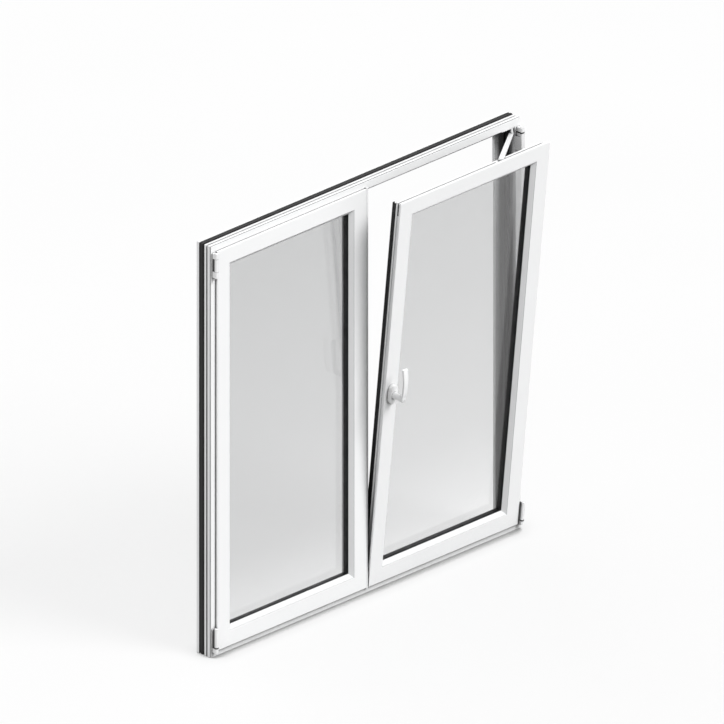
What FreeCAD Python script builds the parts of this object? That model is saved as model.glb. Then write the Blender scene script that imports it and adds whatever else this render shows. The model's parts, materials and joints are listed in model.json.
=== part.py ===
import FreeCAD
import Part
import math
import os
from collections import namedtuple

from FreeCAD import Vector

# Double-leaf tilt and turn window of thermally broken aluminium, seen from the room.
# X runs along the width, Y from the room to the outside, Z up.  The origin lies on the
# underside of the sill, at mid width, on the flat land where the frame is fixed.
# In a section, u counts from the outer edge of a frame or sash towards the glass, and
# depth counts from the room face of the frame towards the outside.

# Overall sizes
WIDTH = 1450.0
HEIGHT = 1500.0
FRAME_DEPTH = 67.0
FIXING_LINE = 10.0          # the origin lies this far behind the room face

# Walls and fits
WALL = 1.8                  # wall of the hollow extrusions
FIT = 0.2                   # play of seals and strips on their seats
KERF = 0.3                  # joint between the lengths of a strip, bead or seal
ARRIS = 0.8                 # rounding of the coated outer corners

# Frame section
INSIDE_DEPTH = 30.0         # aluminium shell on the room side
INSIDE_WIDTH = 27.0
OUTSIDE_DEPTH = 11.5        # aluminium shell on the outside
LEG_WIDTH = 66.0            # outside leg that hides the sash
FRONT_LIP = 1.5             # lip in front of the narrow groove round the front outer edge
FRONT_GROOVE_WIDTH = 3.0
FRONT_GROOVE_DEPTH = 4.0
OUTER_GROOVE_START = 16.0   # groove for cover strips round the outer edge
OUTER_GROOVE_WIDTH = 6.0
OUTER_GROOVE_DEPTH = 7.0
KEEP_GROOVE_START = 11.0    # groove for fittings, facing the sash
KEEP_GROOVE_WIDTH = 12.0
KEEP_GROOVE_DEPTH = 2.5

# Insulating strips that join the two shells
STRIP_THICKNESS = 2.0
STRIP_SEAT = 3.0            # how far a strip reaches into each shell
OUTER_STRIP_INSET = 1.8
STRIP_RIB_WIDTH = 8.0
STRIP_RIB_HEIGHT = 1.3
INNER_STRIP_INSET = 21.5

# Sash section
SASH_OVERLAP = 5.0          # how far the sash laps the frame
HARDWARE_GAP = 6.0          # between the frame and the body of the sash
SASH_PROUD = 9.0            # sash face in front of the frame face
FLANGE_THICKNESS = 7.4
SASH_DEPTH = 32.0
SASH_FRONT_DEPTH = 15.0     # depth of the front chamber beside the bead
SASH_MAIN_WIDTH = 25.0      # width of the deep chamber
SASH_FACE_WIDTH = 57.0
SASH_GROOVE_START = 13.0    # fittings groove, counted from the sash face
SASH_GROOVE_WIDTH = 12.0
SASH_GROOVE_DEPTH = 4.0
SASH_ARRIS = 2.0            # rounding of the outer edge of the sash face

# Glass and what holds it
BEAD_WIDTH = 14.0
BEAD_LAND = 1.5             # straight edge of the bead beside the glass
GASKET_DEPTH = 10.0
GASKET_WIDTH = 9.0
GASKET_SETBACK = 1.0
PANE = 4.0
CAVITY = 16.0
CARRIER_WIDTH = 14.0        # insulating profile round the edge of the glass
CARRIER_WALL = 3.0
CARRIER_LIP_IN = 10.0
CARRIER_LIP_OUT = 9.0
GLASS_EDGE_GAP = 2.0
SPACER_INSET = 2.0
SPACER_HEIGHT = 12.0

# Seals
STOP_SEAL_INSET = 3.0       # seal on the back of the sash flange
STOP_SEAL_WIDTH = 5.0
CENTRE_SEAL_ROOT = 8.0      # height of the centre seal where it sits on its strip
CENTRE_SEAL_TIP = 3.0
CENTRE_SEAL_REACH = 5.0     # how far its lip reaches behind the sash body
OUTER_SEAL_WIDTH = 3.5      # on the back of the glass carrier, closing on the outside leg
OUTER_SEAL_INSET = 1.0      # from the tip of the outside leg

# Meeting stiles
MEETING_GAP = 10.0          # between the faces of the two sashes
ADAPTER_STRIP_WIDTH = 7.0   # strip that shows between the sashes
ADAPTER_STRIP_SETBACK = 1.0
ADAPTER_STRIP_OVERRUN = 3.0
ADAPTER_PLATE = 4.0
ADAPTER_LAP = 3.0           # thickness of the lap that the second sash closes on
ADAPTER_LAP_REACH = 17.0
MEETING_WEB = 3.0
COVER_CLEARANCE = 3.0       # outside cover to the legs of the frame
MEETING_SEAL_DEPTH = 18.0   # black profile on the meeting stile of the tilted sash
MEETING_SEAL_WALL = 3.0
MEETING_SEAL_LIP = 8.0
MEETING_SEAL_END_GAP = 7.0  # its upper end below the body of the sash

# Tilt of the second sash
TILT_ANGLE = 6.0

# Hinges
HINGE_BARREL = 13.0         # diameter
HINGE_INSET = 11.0          # barrel axis from the outer edge of the frame
HINGE_CLEAR = 6.0           # slot between the plate and the sash's knuckle
HINGE_PLATE = 3.0
HINGE_PLATE_WIDTH = 9.0
HINGE_PLATE_INSET = 3.0     # plate from the outer edge of the frame
HINGE_GAP = 0.6             # between the knuckles of a hinge
HINGE_PIN = 7.0             # diameter
HINGE_PIN_PLAY = 0.3
HINGE_TONGUE = 4.0          # thickness of the tongue that meets the edge of the sash
HINGE_NECK = 3.0            # thickness of the neck between tongue and barrel
HINGE_NECK_OFFSET = 1.0     # neck from the barrel axis, towards the sash
TILT_PIN_PLAY = 2.0         # lets the lower hinge of the tilted sash lean
TILT_PIN_RISE = 3.0
UPPER_HINGE_FROM_TOP = 24.0
UPPER_HINGE_HEIGHT = 87.0
UPPER_HINGE_TOP_KNUCKLE = 18.0
UPPER_HINGE_BOTTOM_KNUCKLE = 22.0
LOWER_HINGE_FROM_BOTTOM = 20.0
LOWER_HINGE_HEIGHT = 85.0
LOWER_HINGE_KNUCKLE = 16.0

# Upper bearing on the right jamb, where the sash hangs when it turns
BEARING_WIDTH = 18.0
BEARING_PROUD = 25.0        # how far the bearing stands off the frame
BEARING_ROUND = 5.0
BEARING_TOP = 50.0          # top of the lower block, below the top of the frame
BEARING_FOOT_TOP = 61.0     # below this the root on the frame is wider
BEARING_CAP_BOTTOM = 44.5
BEARING_CAP_TOP = 30.0
BEARING_COLLAR = 10.0       # diameter between the two blocks

# Stay arm of the tilted sash
STAY_PIVOT_WIDTH = 15.0     # width of the arm at its pivot
STAY_RIVET_WIDTH = 18.0     # width of the arm over its rivet
STAY_THICKNESS = 3.0
STAY_FROM_TOP = 34.0        # underside of the arm at the rivet, below the top of the frame
STAY_PIVOT_DROP = 16.0      # the arm falls this much from the rivet to the pivot
STAY_PIVOT_INSET = 11.0     # pivot from the inner edge of the right jamb
STAY_PIVOT_DEPTH = 4.0      # pivot behind the room face of the frame
STAY_PIVOT_COLLAR = 10.0    # diameter of the collar above the arm
STAY_COLLAR_GAP = 1.0       # lets the arm swing under the collar
STAY_BRACKET_LENGTH = 60.0
STAY_BRACKET_THICKNESS = 3.0
STAY_BRACKET_SETBACK = 0.5  # front edge behind the room face of the frame
STAY_SHOE_LENGTH = 44.0
STAY_SHOE_FROM_HINGE_SIDE = 210.0
STAY_RIVET = 8.0            # diameter

# Lock rail in the fittings groove of the meeting stile
LOCK_RAIL_END_GAP = 60.0
LOCK_RAIL_THICKNESS = 3.0

# Handle
HANDLE_HEIGHT = 750.0       # neck above the underside of the sill
ROSETTE_WIDTH = 32.0
ROSETTE_HEIGHT = 70.0
ROSETTE_THICKNESS = 16.0
ROSETTE_BEVEL = 3.0
NECK_DIAMETER = 25.0
NECK_TIP_WIDTH = 16.0       # its flattened end where it runs into the grip
NECK_PLAY = 0.3
GRIP_STANDOFF = 49.0        # inner side of the grip ends in front of the sash face
GRIP_THICKNESS = 9.0
GRIP_HEEL_WIDTH = 16.0
GRIP_TIP_WIDTH = 22.0
GRIP_LENGTH = 115.0         # from the neck axis to the tip
GRIP_HEEL = 11.5            # grip below the neck axis
GRIP_BOW = 8.0              # how far the middle of the grip bows away from the sash
GRIP_TIP_ROUND = 3.0
GRIP_HEEL_ROUND = 6.0

# Places that follow from the sizes above
ROOM_FACE_Y = -FIXING_LINE
SASH_MARGIN = INSIDE_WIDTH - SASH_OVERLAP
SASH_FACE = -SASH_PROUD
FLANGE_BACK = SASH_FACE + FLANGE_THICKNESS
SASH_FRONT_BACK = SASH_FACE + SASH_FRONT_DEPTH
SASH_BACK = SASH_FACE + SASH_DEPTH
BODY_EDGE = SASH_OVERLAP + HARDWARE_GAP
MAIN_END = BODY_EDGE + SASH_MAIN_WIDTH
CARRIER_END = MAIN_END + CARRIER_WIDTH
GLASS_EDGE = CARRIER_END + GLASS_EDGE_GAP
BEAD_END = SASH_FACE_WIDTH + BEAD_WIDTH
GLASS_FRONT = SASH_FRONT_BACK + GASKET_DEPTH
CAVITY_FRONT = GLASS_FRONT + PANE
CAVITY_BACK = CAVITY_FRONT + CAVITY
GLASS_BACK = CAVITY_BACK + PANE
CARRIER_BACK = GLASS_BACK + CARRIER_WALL
OUTSIDE_FRONT = FRAME_DEPTH - OUTSIDE_DEPTH
COVER_HALF_WIDTH = MEETING_GAP / 2 + LEG_WIDTH - SASH_MARGIN
HINGE_AXIS_DEPTH = -(HINGE_PLATE + HINGE_CLEAR + HINGE_BARREL / 2)
UPPER_HINGE_BOTTOM = HEIGHT - UPPER_HINGE_FROM_TOP - UPPER_HINGE_HEIGHT
STAY_BOTTOM = HEIGHT - STAY_FROM_TOP
STAY_PIVOT_BOTTOM = STAY_BOTTOM - STAY_PIVOT_DROP
STAY_PIVOT_X = WIDTH / 2 - INSIDE_WIDTH - STAY_PIVOT_INSET

Box = namedtuple("Box", "left right bottom top")
FRAME_BOX = Box(-WIDTH / 2, WIDTH / 2, 0.0, HEIGHT)
LEFT_BOX = Box(-WIDTH / 2 + SASH_MARGIN, -MEETING_GAP / 2, SASH_MARGIN, HEIGHT - SASH_MARGIN)
RIGHT_BOX = Box(MEETING_GAP / 2, WIDTH / 2 - SASH_MARGIN, SASH_MARGIN, HEIGHT - SASH_MARGIN)
SIDES = ("top", "bottom", "left", "right")


def rounded_wire(corners):
    """Closed wire through (u, depth) corners; a third number rounds that corner."""
    points = [Vector(corner[0], corner[1], 0) for corner in corners]
    radii = [corner[2] if len(corner) > 2 else 0.0 for corner in corners]
    stretches = []
    for index, here in enumerate(points):
        radius = radii[index]
        if not radius:
            stretches.append((here, here, here))
            continue
        back = (points[index - 1] - here).normalize()
        ahead = (points[(index + 1) % len(points)] - here).normalize()
        half = back.getAngle(ahead) / 2
        setback = radius / math.tan(half)
        middle = (back + ahead).normalize() * (radius / math.sin(half) - radius)
        stretches.append((here + back * setback, here + middle, here + ahead * setback))
    edges = []
    for index, (start, middle, end) in enumerate(stretches):
        if start.distanceToPoint(end) > 1e-6:
            edges.append(Part.Arc(start, middle, end).toShape())
        following = stretches[(index + 1) % len(stretches)][0]
        if end.distanceToPoint(following) > 1e-6:
            edges.append(Part.LineSegment(end, following).toShape())
    return Part.Wire(edges)


def section(outline, chamber=None):
    """Face of an extruded section, with one closed chamber where it is hollow."""
    face = Part.Face(rounded_wire(outline))
    if chamber:
        face = face.cut(Part.Face(rounded_wire(chamber)))
    return face


def side_placement(box, side):
    """Frame of one side: x inward from the edge, y to the outside, z along the bar."""
    corner, inward = {
        "left": (Vector(box.left, 0, box.bottom), Vector(1, 0, 0)),
        "right": (Vector(box.right, 0, box.top), Vector(-1, 0, 0)),
        "bottom": (Vector(box.right, 0, box.bottom), Vector(0, 0, 1)),
        "top": (Vector(box.left, 0, box.top), Vector(0, 0, -1)),
    }[side]
    outward = Vector(0, 1, 0)
    along = inward.cross(outward)
    base = corner + Vector(0, ROOM_FACE_Y, 0)
    return FreeCAD.Placement(FreeCAD.Matrix(
        inward.x, outward.x, along.x, base.x,
        inward.y, outward.y, along.y, base.y,
        inward.z, outward.z, along.z, base.z,
        0, 0, 0, 1,
    ))


def side_length(box, side):
    if side in ("left", "right"):
        return box.top - box.bottom
    return box.right - box.left


def mitred_bar(profile, box, side, joint=0.0):
    """One side of a rectangle: the section run between two 45 degree cuts."""
    length = side_length(box, side)
    bounds = profile.BoundBox
    bar = profile.extrude(Vector(0, 0, length))
    low, high = bounds.XMin, bounds.XMax
    cut = Part.makePolygon([
        Vector(low, bounds.YMin, low + joint / 2),
        Vector(high, bounds.YMin, high + joint / 2),
        Vector(high, bounds.YMin, length - high - joint / 2),
        Vector(low, bounds.YMin, length - low - joint / 2),
        Vector(low, bounds.YMin, low + joint / 2),
    ])
    room = Part.Face(cut).extrude(Vector(0, bounds.YLength, 0))
    bar = bar.common(room)
    bar.Placement = side_placement(box, side)
    return bar


def mitred_ring(profile, box, sides=SIDES):
    """Lengths of a strip, bead or seal round a rectangle, with a fine joint at each corner."""
    return [mitred_bar(profile, box, side, KERF) for side in sides]


def upright(profile, bottom, top):
    """Section in (x, depth), run up between two heights."""
    post = profile.extrude(Vector(0, 0, top - bottom))
    post.translate(Vector(0, ROOM_FACE_Y, bottom))
    return post


def at_depth(x, depth, z):
    return Vector(x, ROOM_FACE_Y + depth, z)


def block(x0, x1, depth0, depth1, z0, z1):
    return Part.makeBox(x1 - x0, depth1 - depth0, z1 - z0, at_depth(x0, depth0, z0))


def tilted(shape):
    """The second sash leans into the room about its lower front edge."""
    leaning = shape.copy()
    pivot = at_depth(0, SASH_FACE, RIGHT_BOX.bottom)
    leaning.rotate(pivot, Vector(1, 0, 0), TILT_ANGLE)
    return leaning


def tilted_point(point):
    vertex = tilted(Part.Vertex(point))
    return vertex.Point


def inside_shell_section():
    """Room side of the frame: grooved outer edge, fittings groove, strip seats."""
    front_groove_end = FRONT_LIP + FRONT_GROOVE_WIDTH
    groove_end = OUTER_GROOVE_START + OUTER_GROOVE_WIDTH
    keep_end = KEEP_GROOVE_START + KEEP_GROOVE_WIDTH
    keep_floor = INSIDE_WIDTH - KEEP_GROOVE_DEPTH
    outer_slot = OUTER_STRIP_INSET
    inner_slot = INNER_STRIP_INSET
    slot_floor = INSIDE_DEPTH - STRIP_SEAT
    outline = [
        (0.0, 0.0, ARRIS),
        (INSIDE_WIDTH, 0.0, ARRIS),
        (INSIDE_WIDTH, KEEP_GROOVE_START),
        (keep_floor, KEEP_GROOVE_START),
        (keep_floor, keep_end),
        (INSIDE_WIDTH, keep_end),
        (INSIDE_WIDTH, INSIDE_DEPTH),
        (inner_slot + STRIP_THICKNESS, INSIDE_DEPTH),
        (inner_slot + STRIP_THICKNESS, slot_floor),
        (inner_slot, slot_floor),
        (inner_slot, INSIDE_DEPTH),
        (outer_slot + STRIP_THICKNESS, INSIDE_DEPTH),
        (outer_slot + STRIP_THICKNESS, slot_floor),
        (outer_slot, slot_floor),
        (outer_slot, INSIDE_DEPTH),
        (0.0, INSIDE_DEPTH),
        (0.0, groove_end),
        (OUTER_GROOVE_DEPTH, groove_end),
        (OUTER_GROOVE_DEPTH, OUTER_GROOVE_START),
        (0.0, OUTER_GROOVE_START),
        (0.0, front_groove_end),
        (FRONT_GROOVE_DEPTH, front_groove_end),
        (FRONT_GROOVE_DEPTH, FRONT_LIP),
        (0.0, FRONT_LIP),
    ]
    chamber = [
        (OUTER_GROOVE_DEPTH + WALL, WALL),
        (keep_floor - WALL, WALL),
        (keep_floor - WALL, slot_floor - WALL),
        (OUTER_GROOVE_DEPTH + WALL, slot_floor - WALL),
    ]
    return section(outline, chamber)


def outside_shell_section():
    """Outside of the frame: a flat hollow leg that covers the edge of the sash."""
    outer_slot = OUTER_STRIP_INSET
    inner_slot = INNER_STRIP_INSET
    slot_floor = OUTSIDE_FRONT + STRIP_SEAT
    outline = [
        (0.0, OUTSIDE_FRONT),
        (outer_slot, OUTSIDE_FRONT),
        (outer_slot, slot_floor),
        (outer_slot + STRIP_THICKNESS, slot_floor),
        (outer_slot + STRIP_THICKNESS, OUTSIDE_FRONT),
        (inner_slot, OUTSIDE_FRONT),
        (inner_slot, slot_floor),
        (inner_slot + STRIP_THICKNESS, slot_floor),
        (inner_slot + STRIP_THICKNESS, OUTSIDE_FRONT),
        (LEG_WIDTH, OUTSIDE_FRONT, ARRIS),
        (LEG_WIDTH, FRAME_DEPTH, ARRIS),
        (0.0, FRAME_DEPTH, ARRIS),
    ]
    chamber = [
        (WALL, slot_floor + WALL),
        (LEG_WIDTH - WALL, slot_floor + WALL),
        (LEG_WIDTH - WALL, FRAME_DEPTH - WALL),
        (WALL, FRAME_DEPTH - WALL),
    ]
    return section(outline, chamber)


def outer_strip_section():
    """Strip that shows round the outer edge, with a raised rib along its middle."""
    front = INSIDE_DEPTH - STRIP_SEAT
    back = OUTSIDE_FRONT + STRIP_SEAT
    middle = (front + back) / 2
    rib_floor = OUTER_STRIP_INSET - STRIP_RIB_HEIGHT
    return section([
        (OUTER_STRIP_INSET, front),
        (OUTER_STRIP_INSET + STRIP_THICKNESS, front),
        (OUTER_STRIP_INSET + STRIP_THICKNESS, back),
        (OUTER_STRIP_INSET, back),
        (OUTER_STRIP_INSET, middle + STRIP_RIB_WIDTH / 2),
        (rib_floor, middle + STRIP_RIB_WIDTH / 2),
        (rib_floor, middle - STRIP_RIB_WIDTH / 2),
        (OUTER_STRIP_INSET, middle - STRIP_RIB_WIDTH / 2),
    ])


def inner_strip_section():
    front = INSIDE_DEPTH - STRIP_SEAT
    back = OUTSIDE_FRONT + STRIP_SEAT
    return section([
        (INNER_STRIP_INSET, front),
        (INNER_STRIP_INSET + STRIP_THICKNESS, front),
        (INNER_STRIP_INSET + STRIP_THICKNESS, back),
        (INNER_STRIP_INSET, back),
    ])


def centre_seal_section():
    """Lip seal that stands on the inner strip and closes on the back of the sash."""
    root = INNER_STRIP_INSET + STRIP_THICKNESS
    tip = SASH_MARGIN + BODY_EDGE + CENTRE_SEAL_REACH
    front = SASH_BACK + FIT
    root_front = INSIDE_DEPTH + CENTRE_SEAL_TIP
    return section([
        (root, root_front),
        (tip - CENTRE_SEAL_TIP, root_front - CENTRE_SEAL_TIP),
        (tip, front),
        (tip + CENTRE_SEAL_TIP, front),
        (tip, root_front),
        (root, root_front + CENTRE_SEAL_ROOT),
    ])


def outer_seal_section():
    """Seal on the back of the glass carrier that closes on the outside leg of the frame."""
    tip = LEG_WIDTH - SASH_MARGIN - OUTER_SEAL_INSET
    root = tip - OUTER_SEAL_WIDTH
    back = OUTSIDE_FRONT - FIT
    return section([
        (root, CARRIER_BACK),
        (tip, CARRIER_BACK),
        (tip, back, OUTER_SEAL_WIDTH / 3),
        (root, back, OUTER_SEAL_WIDTH / 3),
    ])


def sash_bar_section():
    """Room side of a sash: lapping flange, fittings groove and a stepped chamber."""
    groove_start = SASH_FACE + SASH_GROOVE_START
    groove_end = groove_start + SASH_GROOVE_WIDTH
    groove_floor = BODY_EDGE + SASH_GROOVE_DEPTH
    outline = [
        (0.0, SASH_FACE, SASH_ARRIS),
        (SASH_FACE_WIDTH, SASH_FACE, ARRIS),
        (SASH_FACE_WIDTH, SASH_FRONT_BACK),
        (MAIN_END, SASH_FRONT_BACK),
        (MAIN_END, SASH_BACK),
        (BODY_EDGE, SASH_BACK),
        (BODY_EDGE, groove_end),
        (groove_floor, groove_end),
        (groove_floor, groove_start),
        (BODY_EDGE, groove_start),
        (BODY_EDGE, FLANGE_BACK),
        (0.0, FLANGE_BACK),
    ]
    chamber = [
        (groove_floor + WALL, SASH_FACE + WALL),
        (SASH_FACE_WIDTH - WALL, SASH_FACE + WALL),
        (SASH_FACE_WIDTH - WALL, SASH_FRONT_BACK - WALL),
        (MAIN_END - WALL, SASH_FRONT_BACK - WALL),
        (MAIN_END - WALL, SASH_BACK - WALL),
        (groove_floor + WALL, SASH_BACK - WALL),
    ]
    return section(outline, chamber)


def carrier_section():
    """Black insulating profile behind the bead; its lip holds the glass from outside."""
    wall_start = CARRIER_END - CARRIER_WALL
    outline = [
        (MAIN_END, SASH_FRONT_BACK),
        (CARRIER_END, SASH_FRONT_BACK),
        (CARRIER_END, GLASS_BACK),
        (CARRIER_END + CARRIER_LIP_IN, GLASS_BACK),
        (CARRIER_END + CARRIER_LIP_IN, CARRIER_BACK, CARRIER_WALL / 2),
        (wall_start - CARRIER_LIP_OUT, CARRIER_BACK, CARRIER_WALL / 2),
        (wall_start - CARRIER_LIP_OUT, GLASS_BACK),
        (wall_start, GLASS_BACK),
        (wall_start, SASH_BACK),
        (MAIN_END, SASH_BACK),
    ]
    chamber = [
        (MAIN_END + CARRIER_WALL, SASH_FRONT_BACK + CARRIER_WALL),
        (CARRIER_END - CARRIER_WALL, SASH_FRONT_BACK + CARRIER_WALL),
        (CARRIER_END - CARRIER_WALL, SASH_BACK - CARRIER_WALL),
        (MAIN_END + CARRIER_WALL, SASH_BACK - CARRIER_WALL),
    ]
    return section(outline, chamber)


def bead_section():
    """Sloping hollow bead that holds the glass from the room."""
    outline = [
        (SASH_FACE_WIDTH, SASH_FACE, ARRIS),
        (BEAD_END, SASH_FRONT_BACK - BEAD_LAND, ARRIS),
        (BEAD_END, SASH_FRONT_BACK),
        (SASH_FACE_WIDTH, SASH_FRONT_BACK),
    ]
    slope = math.hypot(BEAD_WIDTH, SASH_FRONT_DEPTH - BEAD_LAND)
    rise = (SASH_FRONT_DEPTH - BEAD_LAND) / BEAD_WIDTH
    offset = WALL * slope / BEAD_WIDTH
    chamber_start = SASH_FACE_WIDTH + WALL
    chamber_back = SASH_FRONT_BACK - WALL
    chamber_front = SASH_FACE + WALL * rise + offset
    chamber_end = chamber_start + (chamber_back - chamber_front) / rise
    chamber = [
        (chamber_start, chamber_front),
        (chamber_end, chamber_back),
        (chamber_start, chamber_back),
    ]
    return section(outline, chamber)


def gasket_section():
    """Black glazing gasket between the bead and the glass."""
    end = BEAD_END - GASKET_SETBACK
    return section([
        (end - GASKET_WIDTH, SASH_FRONT_BACK),
        (end, SASH_FRONT_BACK),
        (end, GLASS_FRONT - GASKET_SETBACK, GASKET_SETBACK),
        (end - GASKET_SETBACK, GLASS_FRONT),
        (end - GASKET_WIDTH, GLASS_FRONT),
    ])


def stop_seal_section():
    start = STOP_SEAL_INSET
    return section([
        (start, FLANGE_BACK),
        (start + STOP_SEAL_WIDTH, FLANGE_BACK),
        (start + STOP_SEAL_WIDTH, -FIT),
        (start, -FIT),
    ])


def spacer_section():
    start = GLASS_EDGE + SPACER_INSET
    return section([
        (start, CAVITY_FRONT),
        (start + SPACER_HEIGHT, CAVITY_FRONT),
        (start + SPACER_HEIGHT, CAVITY_BACK),
        (start, CAVITY_BACK),
    ])


def glass_pane(box, front):
    return block(
        box.left + GLASS_EDGE, box.right - GLASS_EDGE,
        front, front + PANE,
        box.bottom + GLASS_EDGE, box.top - GLASS_EDGE,
    )


def frame_parts():
    parts = {}
    inside = inside_shell_section()
    outside = outside_shell_section()
    names = {"top": "head", "bottom": "sill", "left": "left_jamb", "right": "right_jamb"}
    for side, name in names.items():
        parts[f"frame_{name}_inside"] = mitred_bar(inside, FRAME_BOX, side)
        parts[f"frame_{name}_outside"] = mitred_bar(outside, FRAME_BOX, side)
    outer_strips = mitred_ring(outer_strip_section(), FRAME_BOX)
    inner_strips = mitred_ring(inner_strip_section(), FRAME_BOX)
    parts["frame_insulating_strips"] = Part.makeCompound(outer_strips + inner_strips)
    parts["frame_seals"] = Part.makeCompound(mitred_ring(centre_seal_section(), FRAME_BOX))
    return parts


def sash_parts(prefix, box, stop_sides):
    """Everything that one leaf carries round its own rectangle, in the closed place."""
    parts = {}
    profile = sash_bar_section()
    names = {"top": "top_rail", "bottom": "bottom_rail", "left": "left_stile", "right": "right_stile"}
    for side, name in names.items():
        parts[f"{prefix}_{name}"] = mitred_bar(profile, box, side)
    parts[f"{prefix}_glass_carrier"] = Part.makeCompound(mitred_ring(carrier_section(), box))
    parts[f"{prefix}_glazing_beads"] = Part.makeCompound(mitred_ring(bead_section(), box))
    gasket = mitred_ring(gasket_section(), box)
    stop_seal = mitred_ring(stop_seal_section(), box, stop_sides)
    outer_seal = mitred_ring(outer_seal_section(), box)
    parts[f"{prefix}_seals"] = Part.makeCompound(gasket + stop_seal + outer_seal)
    parts[f"{prefix}_glass_spacer"] = Part.makeCompound(mitred_ring(spacer_section(), box))
    parts[f"{prefix}_glass"] = Part.makeCompound([
        glass_pane(box, GLASS_FRONT),
        glass_pane(box, CAVITY_BACK),
    ])
    return parts


def meeting_adapter():
    """Profile screwed to the closed sash: a strip between the faces and a lap behind them."""
    edge = LEFT_BOX.right
    root = edge - BODY_EDGE
    lap_end = root + BODY_EDGE + ADAPTER_LAP_REACH
    strip_front = SASH_FACE + ADAPTER_STRIP_SETBACK
    strip_start = edge + FIT
    strip_end = edge + ADAPTER_STRIP_WIDTH
    strip = section([
        (strip_start, strip_front, ARRIS),
        (strip_end, strip_front, ARRIS),
        (strip_end, -FIT),
        (strip_start, -FIT),
    ])
    plate = section([
        (root, FLANGE_BACK + FIT),
        (strip_start, FLANGE_BACK + FIT),
        (strip_start, -FIT),
        (strip_end, -FIT),
        (strip_end, 0.0),
        (lap_end, 0.0, ARRIS),
        (lap_end, ADAPTER_LAP, ARRIS),
        (root + ADAPTER_PLATE, ADAPTER_LAP),
        (root + ADAPTER_PLATE, SASH_BACK),
        (root, SASH_BACK),
    ])
    overrun = ADAPTER_STRIP_OVERRUN
    short = BODY_EDGE
    front = upright(strip, LEFT_BOX.bottom - overrun, LEFT_BOX.top + overrun)
    rear = upright(plate, LEFT_BOX.bottom + short, LEFT_BOX.top - short)
    return front.fuse(rear).removeSplitter()


def meeting_web():
    """Insulating web from the adapter to the outside cover, with an arm for its seal."""
    root = LEFT_BOX.right - BODY_EDGE
    arm_back = OUTSIDE_FRONT - MEETING_WEB
    arm_end = RIGHT_BOX.left + BODY_EDGE + MEETING_SEAL_LIP
    profile = section([
        (root, SASH_BACK),
        (root + MEETING_WEB, SASH_BACK),
        (root + MEETING_WEB, arm_back - MEETING_WEB),
        (arm_end, arm_back - MEETING_WEB),
        (arm_end, arm_back),
        (root + MEETING_WEB, arm_back),
        (root + MEETING_WEB, OUTSIDE_FRONT),
        (root, OUTSIDE_FRONT),
    ])
    low = FRAME_BOX.bottom + LEG_WIDTH + COVER_CLEARANCE
    high = FRAME_BOX.top - LEG_WIDTH - COVER_CLEARANCE
    return upright(profile, low, high)


def meeting_cover():
    """Hollow outside cover between the sashes, as wide to each side as the frame's leg."""
    half = COVER_HALF_WIDTH
    profile = section(
        [
            (-half, OUTSIDE_FRONT, ARRIS),
            (half, OUTSIDE_FRONT, ARRIS),
            (half, FRAME_DEPTH, ARRIS),
            (-half, FRAME_DEPTH, ARRIS),
        ],
        [
            (-half + WALL, OUTSIDE_FRONT + WALL),
            (half - WALL, OUTSIDE_FRONT + WALL),
            (half - WALL, FRAME_DEPTH - WALL),
            (-half + WALL, FRAME_DEPTH - WALL),
        ],
    )
    low = FRAME_BOX.bottom + LEG_WIDTH + COVER_CLEARANCE
    high = FRAME_BOX.top - LEG_WIDTH - COVER_CLEARANCE
    return upright(profile, low, high)


def right_meeting_profile():
    """Black profile behind the meeting stile of the tilted sash, open to the glass side."""
    edge = RIGHT_BOX.left + BODY_EDGE
    inner = RIGHT_BOX.left + MAIN_END
    back = SASH_BACK + MEETING_SEAL_DEPTH
    profile = section([
        (edge, SASH_BACK),
        (inner, SASH_BACK),
        (inner, SASH_BACK + MEETING_SEAL_WALL),
        (edge + MEETING_SEAL_WALL, SASH_BACK + MEETING_SEAL_WALL),
        (edge + MEETING_SEAL_WALL, back - MEETING_SEAL_WALL),
        (edge + MEETING_SEAL_LIP, back - MEETING_SEAL_WALL),
        (edge + MEETING_SEAL_LIP, back),
        (edge, back, ARRIS),
    ])
    low = RIGHT_BOX.bottom + MAIN_END
    high = RIGHT_BOX.top - BODY_EDGE - MEETING_SEAL_END_GAP
    return upright(profile, low, high)


def lock_rail():
    """Faceplate of the locking gear, seated in the groove of the meeting stile."""
    face = RIGHT_BOX.left + BODY_EDGE
    floor = face + SASH_GROOVE_DEPTH
    groove_start = SASH_FACE + SASH_GROOVE_START
    return block(
        floor - LOCK_RAIL_THICKNESS, floor,
        groove_start + FIT, groove_start + SASH_GROOVE_WIDTH - FIT,
        RIGHT_BOX.bottom + LOCK_RAIL_END_GAP, RIGHT_BOX.top - LOCK_RAIL_END_GAP,
    )


def barrel(x, depth, bottom, height, diameter):
    return Part.makeCylinder(diameter / 2, height, at_depth(x, depth, bottom))


def hinge_axis_x(direction):
    return direction * (WIDTH / 2 - HINGE_INSET)


def beside_edge(direction, near, far):
    """Two x places counted from the left (-1) or right (1) edge, in rising order."""
    places = (direction * (WIDTH / 2 - near), direction * (WIDTH / 2 - far))
    return min(places), max(places)


def hinge_frame_leaf(direction, bottom, height, knuckles, pin_top):
    """Plate on the frame with its knuckles and the pin that stands in them.

    direction is -1 at the left edge of the window and 1 at the right edge, and
    knuckles holds the bottom and top of each one.
    """
    axis_x = hinge_axis_x(direction)
    plate_left, plate_right = beside_edge(
        direction, HINGE_PLATE_INSET, HINGE_PLATE_INSET + HINGE_PLATE_WIDTH)
    plate = block(plate_left, plate_right, -HINGE_PLATE, 0.0, bottom, bottom + height)
    pieces = [barrel(axis_x, HINGE_AXIS_DEPTH, bottom, pin_top - bottom, HINGE_PIN)]
    for low, high in knuckles:
        pieces.append(block(axis_x - HINGE_BARREL / 2, axis_x + HINGE_BARREL / 2,
                            HINGE_AXIS_DEPTH, 0.0, low, high))
        pieces.append(barrel(axis_x, HINGE_AXIS_DEPTH, low, high - low, HINGE_BARREL))
    return plate.fuse(pieces).removeSplitter()


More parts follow.
